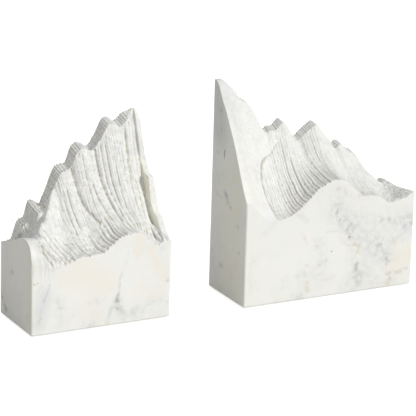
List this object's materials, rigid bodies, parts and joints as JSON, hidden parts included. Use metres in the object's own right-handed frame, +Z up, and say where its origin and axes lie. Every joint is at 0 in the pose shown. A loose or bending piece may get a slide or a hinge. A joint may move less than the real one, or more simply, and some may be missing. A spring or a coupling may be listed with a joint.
{
  "type": "book ends",
  "caption": "Carved white marble book ends: heavy blocks with flat polished sides and a grooved mountain-ridge top, on thin felt pads, that slide apart to hold a row of books.",
  "frame": {"origin": "on the shelf surface, under the middle of the box around the pair", "axes": "+X along the shelf from the left block to the right block, +Y from the low wavy front edge to the tall ridge at the back, +Z up"},
  "size_m": [0.378, 0.075, 0.1966],
  "materials": {
    "marble": "white marble with faint grey veins: polished on the flat sides, tooled and matt on the carved top",
    "felt": "thin pressed felt"
  },
  "bodies": {
    "left_end": {"left_book_end": "marble", "left_pad_front_left": "felt", "left_pad_front_right": "felt", "left_pad_back_left": "felt", "left_pad_back_right": "felt"},
    "right_end": {"right_book_end": "marble", "right_pad_front_left": "felt", "right_pad_front_right": "felt", "right_pad_back_left": "felt", "right_pad_back_right": "felt"}
  },
  "joints": [
    {"name": "spread", "type": "slide", "parent": "left_end", "child": "right_end", "axis": [1, 0, 0], "range_m": [-0.069, 0.3]}
  ]
}
